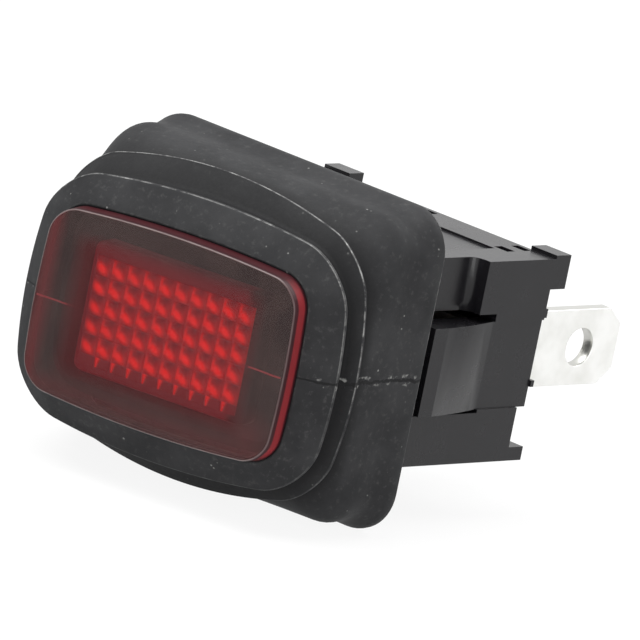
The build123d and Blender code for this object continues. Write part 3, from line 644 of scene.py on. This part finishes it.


# Boot, ring by ring: share of tilt, y, half length, half height, corner, bow of ends, bow of sides,
# cut of its corner and steps in it, wear and painted highlight of its edge, painted shade of its groove
boot = {
    "outer": [
        (0, 0.0, 10.8, 7.5, 1.4, 0, 0, 0.05, 2, 0, 0),
        (0, 0.0, 12.10, 9.82, 2.75, 0, 0, 0.05, 2, 0, 0),
        (0, -0.07, 12.19, 9.91, 2.8, 0, 0, 0.06, 3, 0.75, 0),
        (0, -0.55, 12.22, 9.95, 2.8, 0, 0, 0.25, 4, 0, 0),
        (0, -1.15, 12.08, 9.72, 2.75, 0, 0.02, 0.30, 4, 0, 0),
        (0, -2.1, 11.94, 9.42, 2.7, 0.02, 0.04, 0.45, 5, 0, 0),
        (0, -3.9, 11.98, 9.5, 2.6, 0.05, 0.05, 1.2, 8, 0, 0),
        (0.4, -6.35, 10.80, 7.33, 2.4, 1.0, 1.85, 0.12, 4, 0, 0.85),
        (0.4, -6.50, 10.72, 7.22, 2.4, 1.0, 1.85, 0.06, 3, 0, 0.9),
        (0.5, -6.90, 10.80, 7.48, 2.4, 1.25, 1.95, 0.05, 3, 0, 0),
        (0.5, -7.05, 10.80, 7.50, 2.4, 1.25, 1.95, 0.07, 4, 0.9, 0),
        (0.5, -7.13, 10.70, 7.40, 2.4, 1.25, 1.95, 0.05, 3, 0, 0.45),
        (0.8, -8.35, 9.95, 6.55, 2.6, 0.95, 1.35, 0.35, 5, 0, 1),
        (1, -9.45, 10.30, 6.97, 2.9, 0.85, 1.1, 0.10, 3, 0, 0.8),
        (1, -9.66, 10.37, 7.04, 2.9, 0.85, 1.1, 0.07, 3, 0.35, 0),
        (1, -9.76, 10.34, 7.01, 2.9, 0.85, 1.1, 0.07, 3, 0.65, 0),
        (1, -9.84, 10.24, 6.91, 2.9, 0.85, 1.1, 0.05, 3, 0, 0),
        (1, -10.93, 8.93, 5.68, 1.76, 0.28, 0.5, 0.08, 3, 0.10, 0),
        (1, -10.88, 8.78, 5.52, 1.66, 0.28, 0.5, 0.03, 2, 0, 0.8),
    ],
    "inner": [
        (1, -9.80, 8.78, 5.52, 1.66, 0.28, 0.5, 0.05, 2, 0, 1),
        (1, -8.85, 9.5, 6.15, 2.4, 0.85, 1.1, 0.3, 3, 0, 1),
        (0.8, -7.45, 9.1, 5.75, 2.1, 0.95, 1.35, 0.3, 3, 0, 0),
        (0.5, -6.2, 9.9, 6.6, 1.9, 1.25, 1.95, 0.3, 3, 0, 0),
        (0.4, -5.45, 9.95, 6.45, 1.9, 1.0, 1.85, 0.3, 3, 0, 0),
        (0, -3.5, 11.08, 8.6, 2.0, 0.05, 0.05, 0.4, 3, 0, 0),
        (0, -0.97, 11.08, 8.6, 1.7, 0, 0, 0.05, 2, 0, 0),
        (0, -0.97, 9.9, 6.45, 0.3, 0, 0, 0.05, 2, 0, 0),
        (0, -0.3, 9.9, 6.45, 0.3, 0, 0, 0.05, 2, 0, 0),
        (0, -0.3, 10.8, 7.5, 1.4, 0, 0, 0.05, 2, 0, 0),
    ],
    # Share of the edges' wear and painted highlight on the lowest edges, and the height above and below the
    # middle over which it grows to full
    "leastWearAndHighlight": 0.22,
    "wearAndHighlightTop": 3.5,
    "blend": (4.97, 8.79),
}


# The boot's mesh is baked where it stands; the ends of a bend between the panel and the rocker's front, along
# the middle of the two, are worked out but not used
def bendBetween(thing):
    half = math.radians(tilt["rest"] / 2)
    front = Vector((math.sin(half), -math.cos(half), 0))
    pivot = Vector((0, tilt["pivotY"], 0))
    start, end = ((pivot + front * (reach + tilt["pivotY"])) * mm for reach in boot["blend"])
    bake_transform(thing)
    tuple(start)
    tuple(end)


# Edges are painted lighter the higher they lie, for wear and for a painted highlight from light above; those
# that look down hardly
def wearAndHighlightAt(z):
    height = limited((z + boot["wearAndHighlightTop"]) / (2 * boot["wearAndHighlightTop"]))
    return boot["leastWearAndHighlight"] + (1 - boot["leastWearAndHighlight"]) * height


def makeBoot():
    loops = []
    cuts = []
    steps = []
    wearAndHighlight = []
    grooveShadeAndSeam = []
    for share, y, halfLength, halfHeight, corner, bowEnds, bowSides, *finish in boot["outer"] + boot["inner"]:
        flat = ringPoints(halfLength, halfHeight, corner, bowEnds, bowSides)
        loops.append([turned(share, x, y, z) for x, z in flat])
        cut, stepCount, ringWearAndHighlight, ringGrooveShade = finish
        cuts.append(cut)
        steps.append(stepCount)
        for k in range(stepCount + 1):
            # Each ring's edge is lightest in the middle of its rounded corner: wear and painted highlight
            edge = ringWearAndHighlight * (1 - (2 * k / stepCount - 1) ** 2)
            wearAndHighlight += [edge * wearAndHighlightAt(point.z / mm) for point in loops[0]]
            # Painted shade of the grooves, ring by ring
            grooveShadeAndSeam += [ringGrooveShade] * len(flat)
    columns = [softPath(column, cuts, steps) for column in zip(*loops)]
    made = meshFromRings("boot_skin", list(zip(*columns)), closed=True)
    smoothShade(made)
    addPointValues(made, "edgeWearAndHighlight", wearAndHighlight)
    addPointValues(made, "paintedGrooveShade", grooveShadeAndSeam)
    setMaterial(made, looks["boot_rubber"])
    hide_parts("boot")
    bendBetween(made)
    return made


bootSkin = makeBoot()
print("boot made:", len(bootSkin.data.polygons), "faces")

# Window: the same kind of rings on the rocker's own plane, with the crown of its front. The outline is
# its half length, half height, corner and bows; a band of painted light has its strength, middle and half
# width;
# the edge and the front have the share where they start and how fast it grows.
window = {
    "outline": (8.87, 5.60, 1.72, 0.28, 0.5),
    "cornerLoss": 0.6,
    "leastCorner": 0.3,
    "draft": 0.13,
    "footY": -9.79,
    "shoulderY": -10.90,
    "frontY": -12.11,
    "edge": 0.13,
    "crown": 0.10,
    "pocket": (6.5, 4.25, 0.6),
    "pocketFloorY": -11.35,
    "floorInset": 2,
    "floorCorner": 0.4,
    "wallSteps": 8,
    "edgeSteps": 5,
    "insets": (0.12, 0.35, 0.7, 1.1, 1.6, 2.2, 3.2, 4.6),
    "edgeShare": (0.9, 0.15),
    "frontShare": (1.12, 0.2),
    "frontFrom": 1.1,
    "floorShare": 2.0,
    "lensReach": 6.3,
    "endBand": (0.75, 0.45, 0.85),
    "lowBand": (0.40, 0.50, 1.0),
    "cornerBand": (0.4, 0.0, 2.2),
    "cornerInset": (1.6, 1.4),
    "leastGlow": 0.08,
    "glowFrom": 1.3,
}


def crownShare(x, z):
    halfLength, halfHeight = window["outline"][:2]
    return max(0.0, 1 - (x / halfLength) ** 2) * max(0.0, 1 - (z / halfHeight) ** 2)


def insetRing(inset, y):
    halfLength, halfHeight, corner, bowEnds, bowSides = window["outline"]
    share = min(inset / halfHeight, 1.0)
    flat = ringPoints(
        halfLength - inset,
        halfHeight - inset,
        max(corner - inset * window["cornerLoss"], window["leastCorner"]),
        bowEnds * (1 - share),
        bowSides * (1 - share),
    )
    return [turned(1, x, y - window["crown"] * crownShare(x, z), z) for x, z in flat]


# Rings up the wall, round the edge and over the front, each with its share for the window's material
def outsideRings():
    edge = window["edge"]
    frontY = window["frontY"]
    edgeY = frontY + edge
    edgeShare, edgeGrowth = window["edgeShare"]
    frontShare, frontGrowth = window["frontShare"]
    for k in range(window["wallSteps"] + 1):
        t = k / window["wallSteps"]
        y = window["footY"] + (edgeY - window["footY"]) * t
        height = (y - window["shoulderY"]) / (edgeY - window["shoulderY"])
        yield insetRing(window["draft"] * t, y), max(0.0, height) * edgeShare
    for k in range(1, window["edgeSteps"] + 1):
        t = k / window["edgeSteps"]
        angle = math.pi / 2 * t
        inset = window["draft"] + edge * (1 - math.cos(angle))
        yield insetRing(inset, frontY + edge * (1 - math.sin(angle))), edgeShare + edgeGrowth * t
    for inset in window["insets"]:
        yield insetRing(window["draft"] + edge + inset, frontY), frontShare + frontGrowth * inset


# Rings of the pocket behind the front, which is open at the back
def insideRings():
    halfLength, halfHeight, corner = window["pocket"]
    inset = window["floorInset"]
    floor = ringPoints(halfLength, halfHeight, corner)
    middle = ringPoints(halfLength - inset, halfHeight - inset, window["floorCorner"])
    yield [turned(1, x, window["pocketFloorY"], z) for x, z in middle], window["floorShare"]
    yield [turned(1, x, window["pocketFloorY"], z) for x, z in floor], window["floorShare"]
    yield [turned(1, x, window["footY"], z) for x, z in floor], 0.0


def bandAt(distance, strength, middle, halfWidth):
    return strength * max(0.0, 1 - abs(distance - middle) / halfWidth)


# Painted light: red light gathers inside the front near the walls, most at the -X end and along the bottom
def paintedLightNearWallsAt(x, z, share):
    if share < 1.0:
        return 0.0
    halfLength, halfHeight = window["outline"][:2]
    insetX, insetZ = window["cornerInset"]
    fromCorner = math.hypot(x - halfLength + insetX, z + halfHeight - insetZ)
    return limited(max(
        bandAt(x + halfLength, *window["endBand"]),
        bandAt(z + halfHeight, *window["lowBand"]),
        bandAt(fromCorner, *window["cornerBand"]),
    ))


# Painted light: the walls glow red at the +X end and round its corners, and stay dark elsewhere
def wallGlowAt(x):
    glow = limited(x - window["outline"][0] + window["glowFrom"])
    return window["leastGlow"] + (1 - window["leastGlow"]) * glow


def makeWindow3d():
    inside = list(insideRings())
    rings, shares = zip(*inside, *outsideRings())
    made = meshFromRings("window_shell", rings)
    smoothShade(made)
    points = [(*rockerPlace(point), share) for ring, share in zip(rings, shares) for point in ring]
    pastLens = [share > window["frontFrom"] and abs(x) > window["lensReach"] for x, z, share in points]
    addPointValues(made, "wallShare", [share for x, z, share in points])
    addPointValues(made, "paintedLightNearWalls", [paintedLightNearWallsAt(x, z, share) for x, z, share in points])
    addPointValues(made, "wallGlow", [wallGlowAt(x) for x, z, share in points])
    addPointValues(made, "streakShare", [float(past) for past in pastLens])
    # The pocket's faces come first, but for its floor, which comes behind all the rings
    setMaterial(made, looks["window_tint"], makeWindowInside())
    count = len(rings[0])
    for i in [*range(len(inside) * count), (len(rings) - 1) * count]:
        made.data.polygons[i].material_index = 1
    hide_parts("boot_window")
    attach(made, "rocker_body")
    return made


windowShell = makeWindow3d()
print("window made:", len(windowShell.data.polygons), "faces")

# Lens: a slab with a field of small rounded pyramids. Places in a pyramid run from 0 to 1, to the
# right and upward: a painted highlight as a bright blob low down and a thin wedge up its left side, a dark
# hollow over its upper right corner and an even painted glow between them.
lens = {
    "halfLength": 6.25,
    "halfHeight": 4.0,
    "corner": 0.6,
    "leastCorner": 0.1,
    "rearY": -8.8,
    "frontY": -10.8,
    "edge": 0.14,
    "edgeMiddle": (0.4, 0.3),
    "insets": (0.5, 1.0, 2.0, 3.0),
    "pitch": (1.14, 1.2),
    "size": (1.144, 1.204),
    "columns": 10,
    "rows": 5,
    "fieldPlace": (-0.22, 0.10),
    "relief": 0.10,
    "roundness": 1.6,
    "sink": 0.05,
    "lift": 0.4,
    "grid": 12,
    "firstField": 0.3,
    "firstGlow": 1.4,
    "blobPlace": (0.45, 0.38),
    "blobSize": (0.37, 0.25),
    "blobSlope": 0.36,
    "blobPeak": 1.25,
    "blobFall": 1.1,
    "wedgePlace": 0.13,
    "wedgeWidth": 0.17,
    "wedgePeak": 0.82,
    "wedgeFrom": 0.3,
    "wedgeTip": 1.25,
    "wedgeFade": (1.10, 0.3),
    "hollowPlace": (0.62, 0.92),
    "hollowSize": (0.36, 0.27),
    "glow": 0.27,
    "tailFrom": 0.5,
    "tailPlace": 0.18,
    "tailWidth": (0.04, 0.20),
    "tailPeak": 0.85,
    "rimRight": 4.85,
    "rimFade": 0.15,
}


def lensRing(inset, y):
    corner = max(lens["corner"] - inset, lens["leastCorner"])
    flat = ringPoints(lens["halfLength"] - inset, lens["halfHeight"] - inset, corner)
    return [turned(1, x, y, z) for x, z in flat]


def bell(distance, width):
    return math.exp(-((distance / width) ** 2))


def blobAt(u, v):
    fromLeft = u - lens["blobPlace"][0]
    across = fromLeft / lens["blobSize"][0]
    up = (v - lens["blobPlace"][1] + lens["blobSlope"] * fromLeft) / lens["blobSize"][1]
    return min(1.0, lens["blobPeak"] * math.exp(-lens["blobFall"] * (across * across + up * up)))


def wedgeAt(u, v):
    if v <= lens["wedgeFrom"]:
        return 0.0
    fadeTop, fadeLength = lens["wedgeFade"]
    fade = min(1.0, (fadeTop - v) / fadeLength)
    return lens["wedgePeak"] * fade * bell(u - lens["wedgePlace"], lens["wedgeWidth"] * (lens["wedgeTip"] - v))


# The hollow runs on into the neighbours
def glowAt(u, v):
    across = (u - lens["hollowPlace"][0] + 0.5) % 1 - 0.5
    up = (v - lens["hollowPlace"][1] + 0.5) % 1 - 0.5
    return lens["glow"] * (1 - bell(across, lens["hollowSize"][0]) * bell(up, lens["hollowSize"][1]))


# The first column has no wedges and fades to its left
def shineAt(u, v, column):
    if column == 0:
        return max(blobAt(u, v), glowAt(u, v) * min(1.0, u * lens["firstGlow"]))
    return max(blobAt(u, v), wedgeAt(u, v), glowAt(u, v))


# Below the lowest row the wedges run out downward
def tailShineAt(u, v, column):
    if column == 0 or v <= lens["tailFrom"]:
        return 0.0
    narrow, spread = lens["tailWidth"]
    return lens["tailPeak"] * bell(u - lens["tailPlace"], narrow + spread * (v - lens["tailFrom"]))


# The points of one pyramid, level by level, each with its shine; a row below the field is half a row
def pyramidPoints(row, column):
    steps = lens["grid"]
    lowest = lens["tailFrom"] if row < 0 else 0.0
    left = lens["fieldPlace"][0] + (column - lens["columns"] / 2) * lens["pitch"][0]
    foot = lens["fieldPlace"][1] + (row - lens["rows"] / 2) * lens["pitch"][1]
    paintedShine = tailShineAt if row < 0 else shineAt
    for level in (0, 1):
        for j in range(steps + 1):
            for i in range(steps + 1):
                u, v = i / steps, lowest + (1 - lowest) * j / steps
                slope = min(1 - abs(2 * u - 1), 1 - abs(2 * v - 1))
                rise = -lens["sink"]
                if level:
                    rise = lens["relief"] * (1 - (1 - slope) ** lens["roundness"]) + lens["sink"] * lens["lift"]
                x = left + u * lens["size"][0]
                z = foot + v * lens["size"][1]
                yield turned(1, x, lens["frontY"] - rise, z), paintedShine(u, v, column)


# A closed block: two levels of squares and the walls between their borders
def pyramidFaces(first):
    steps = lens["grid"]
    side = steps + 1
    top = first + side * side
    corners = [j * side + i for j in range(steps) for i in range(steps)]
    faces = [(first + a + side, first + a + side + 1, first + a + 1, first + a) for a in corners]
    faces += [(top + a, top + a + 1, top + a + side + 1, top + a + side) for a in corners]
    border = list(range(side))
    border += [j * side + steps for j in range(1, side)]
    border += [steps * side + i for i in range(steps - 1, -1, -1)]
    border += [j * side for j in range(steps - 1, 0, -1)]
    for a, b in zip(border, border[1:] + border[:1]):
        faces.append((first + a, first + b, top + b, top + a))
    return faces


def makeLens3d():
    edge = lens["edge"]
    frontY = lens["frontY"]
    middleInset, middleRise = (edge * share for share in lens["edgeMiddle"])
    rings = [lensRing(0, lens["rearY"]), lensRing(0, frontY + edge)]
    rings += [lensRing(middleInset, frontY + middleRise), lensRing(edge, frontY)]
    rings += [lensRing(inset, frontY) for inset in lens["insets"]]
    vertices = [v for ring in rings for v in ring]
    faces = ringFaces(rings)
    paintedShine = [0.0] * len(vertices)
    field = [0.0] * len(vertices)
    shade = [limited((rockerPlace(v)[0] - lens["rimRight"]) / lens["rimFade"]) for v in vertices]
    for row in range(-1, lens["rows"]):
        for column in range(lens["columns"]):
            faces += pyramidFaces(len(vertices))
            points, shines = zip(*pyramidPoints(row, column))
            vertices += points
            paintedShine += shines
            field += [1.0 if column > 0 else lens["firstField"]] * len(points)
            shade += [0.0] * len(points)
    made = addMesh("lens_face", vertices, faces)
    smoothShade(made)
    addPointValues(made, "paintedShine", paintedShine)
    addPointValues(made, "fieldShare", field)
    addPointValues(made, "shadeShare", shade)
    setMaterial(made, looks["lens_red"])
    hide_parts("lens")
    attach(made, "rocker_body")
    return made


lensFace = makeLens3d()
print("lens made:", len(lensFace.data.polygons), "faces")

# Coil springs in place of the solid ones, wound between the middles of their ends; the bodies listed for their
# ends are not used
coil = {"stepsPerTurn": 20, "wireSides": 8, "endBand": 0.12}
springs = {
    "lamp_spring_left": {"radius": 0.9, "wire": 0.16, "turns": 5, "bodies": ("housing_body", "rocker_body")},
    "lamp_spring_right": {"radius": 0.9, "wire": 0.16, "turns": 5, "bodies": ("housing_body", "rocker_body")},
    "plunger_spring": {"radius": 0.72, "wire": 0.15, "turns": 4, "bodies": ("plunger_body", "rocker_body")},
}


# The middles of the solid spring's rear and front ends
def springEnds(name):
    low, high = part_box(name)
    middleZ = (low.z + high.z) / 2
    band = (high.y - low.y) * coil["endBand"]
    ends = []
    for inEnd in (lambda y: y > high.y - band, lambda y: y < low.y + band):
        found = [v.co for v in frame["nodes"][name].data.vertices if inEnd(v.co.y)]
        ends.append(sum(found, Vector()) / len(found))
    ends[0].z = ends[1].z = middleZ
    return ends


def makeSpring(name, sizes):
    rear, front = springEnds(name)
    axis = (front - rear).normalized()
    side = axis.cross(Vector((0, 0, 1))).normalized()
    up = side.cross(axis)
    count = sizes["turns"] * coil["stepsPerTurn"]
    rings = []
    for i in range(count + 1):
        angle = 2 * math.pi * i / coil["stepsPerTurn"]
        outward = side * math.cos(angle) + up * math.sin(angle)
        centre = rear.lerp(front, i / count) + outward * sizes["radius"] * mm
        rings.append([
            centre + (outward * math.cos(a) + axis * math.sin(a)) * sizes["wire"] * mm
            for a in (2 * math.pi * k / coil["wireSides"] for k in range(coil["wireSides"]))
        ])
    made = meshFromRings(name + "_coil", rings)
    smoothShade(made)
    setMaterial(made, looks["spring_steel"])
    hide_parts(name)
    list(sizes["bodies"])
    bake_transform(made)
    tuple(rear)
    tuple(front)


for name, sizes in springs.items():
    makeSpring(name, sizes)
print("springs made:", len(springs))

# Floor, background and lights
studio = {
    "floorZ": -9.97,
    "floorSize": 3.0,
    "paper": (0.9, 0.9, 0.9, 1),
    "white": (1, 1, 1, 1),
    "floorWhite": 0.9,
    "ambient": 0.42,
    "lamps": [
        {"place": (-0.15, -0.20, 0.65), "size": 0.50, "power": 7.5},
        {"place": (0.60, -0.20, 0.20), "size": 0.40, "power": 1.5},
        {"place": (0.10, 0.45, 0.50), "size": 0.45, "power": 2.6},
    ],
}


# Pale paper that looks nearly white and keeps the object's shadow
def makeFloor():
    half = studio["floorSize"] / 2
    z = studio["floorZ"] * mm
    corners = [(-half, -half, z), (half, -half, z), (half, half, z), (-half, half, z)]
    floor = addMesh("floor", corners, [(0, 1, 2, 3)])
    g = Graph("paleFloor")
    seen = g.rays("Is Camera Ray", "Is Glossy Ray")
    paper = g.node("ShaderNodeBsdfDiffuse", None, {"Color": studio["paper"]})
    white = g.node("ShaderNodeEmission", None, {"Color": studio["white"], "Strength": 1.0})
    mixed = g.node("ShaderNodeMixShader", None, {0: seen * studio["floorWhite"], 1: paper, 2: white})
    floor.data.materials.append(g.show(mixed))


# Soft light from all round, behind it a white background
def makeWorld():
    g = Graph("studio", bpy.data.worlds, "ShaderNodeOutputWorld")
    seen = g.rays("Is Camera Ray", "Is Glossy Ray", "Is Transmission Ray")
    plain = g.node("ShaderNodeBackground", None, {"Color": studio["white"], "Strength": studio["ambient"]})
    white = g.node("ShaderNodeBackground", None, {"Color": studio["white"], "Strength": 1.0})
    bpy.context.scene.world = g.show(g.node("ShaderNodeMixShader", None, {0: seen, 1: plain, 2: white}))


def makeLamps():
    for i, lamp in enumerate(studio["lamps"]):
        light = bpy.data.lights.new(f"softbox{i}", "AREA")
        light.shape = "SQUARE"
        light.size = lamp["size"]
        light.energy = lamp["power"]
        made = bpy.data.objects.new(f"softbox{i}", light)
        made.location = lamp["place"]
        made.rotation_mode = "QUATERNION"
        made.rotation_quaternion = (-Vector(lamp["place"])).to_track_quat("-Z", "Y")
        bpy.context.scene.collection.objects.link(made)


makeFloor()
makeWorld()
makeLamps()

# Camera, worked out from the edges of the housing, tab, boot and window
camera = {
    "place": (0.414973, -0.474585, 0.141928),
    "right": (0.71177, 0.67486, 0.19478),
    "down": (0.29132, -0.03130, -0.95611),
    "lens": 610.24,
    "sensorWidth": 36,
    "clip": (0.05, 10),
}


def makeCamera():
    data = bpy.data.cameras.new("camera")
    data.lens = camera["lens"]
    data.sensor_width = camera["sensorWidth"]
    data.clip_start, data.clip_end = camera["clip"]
    made = bpy.data.objects.new("camera", data)
    right = Vector(camera["right"]).normalized()
    up = -Vector(camera["down"]).normalized()
    back = right.cross(up).normalized()
    up = back.cross(right)
    made.matrix_world = Matrix((
        (right.x, up.x, back.x, camera["place"][0]),
        (right.y, up.y, back.y, camera["place"][1]),
        (right.z, up.z, back.z, camera["place"][2]),
        (0, 0, 0, 1),
    ))
    bpy.context.scene.collection.objects.link(made)
    bpy.context.scene.camera = made


makeCamera()
bpy.context.scene.view_settings.view_transform = "Standard"
print("studio ready")
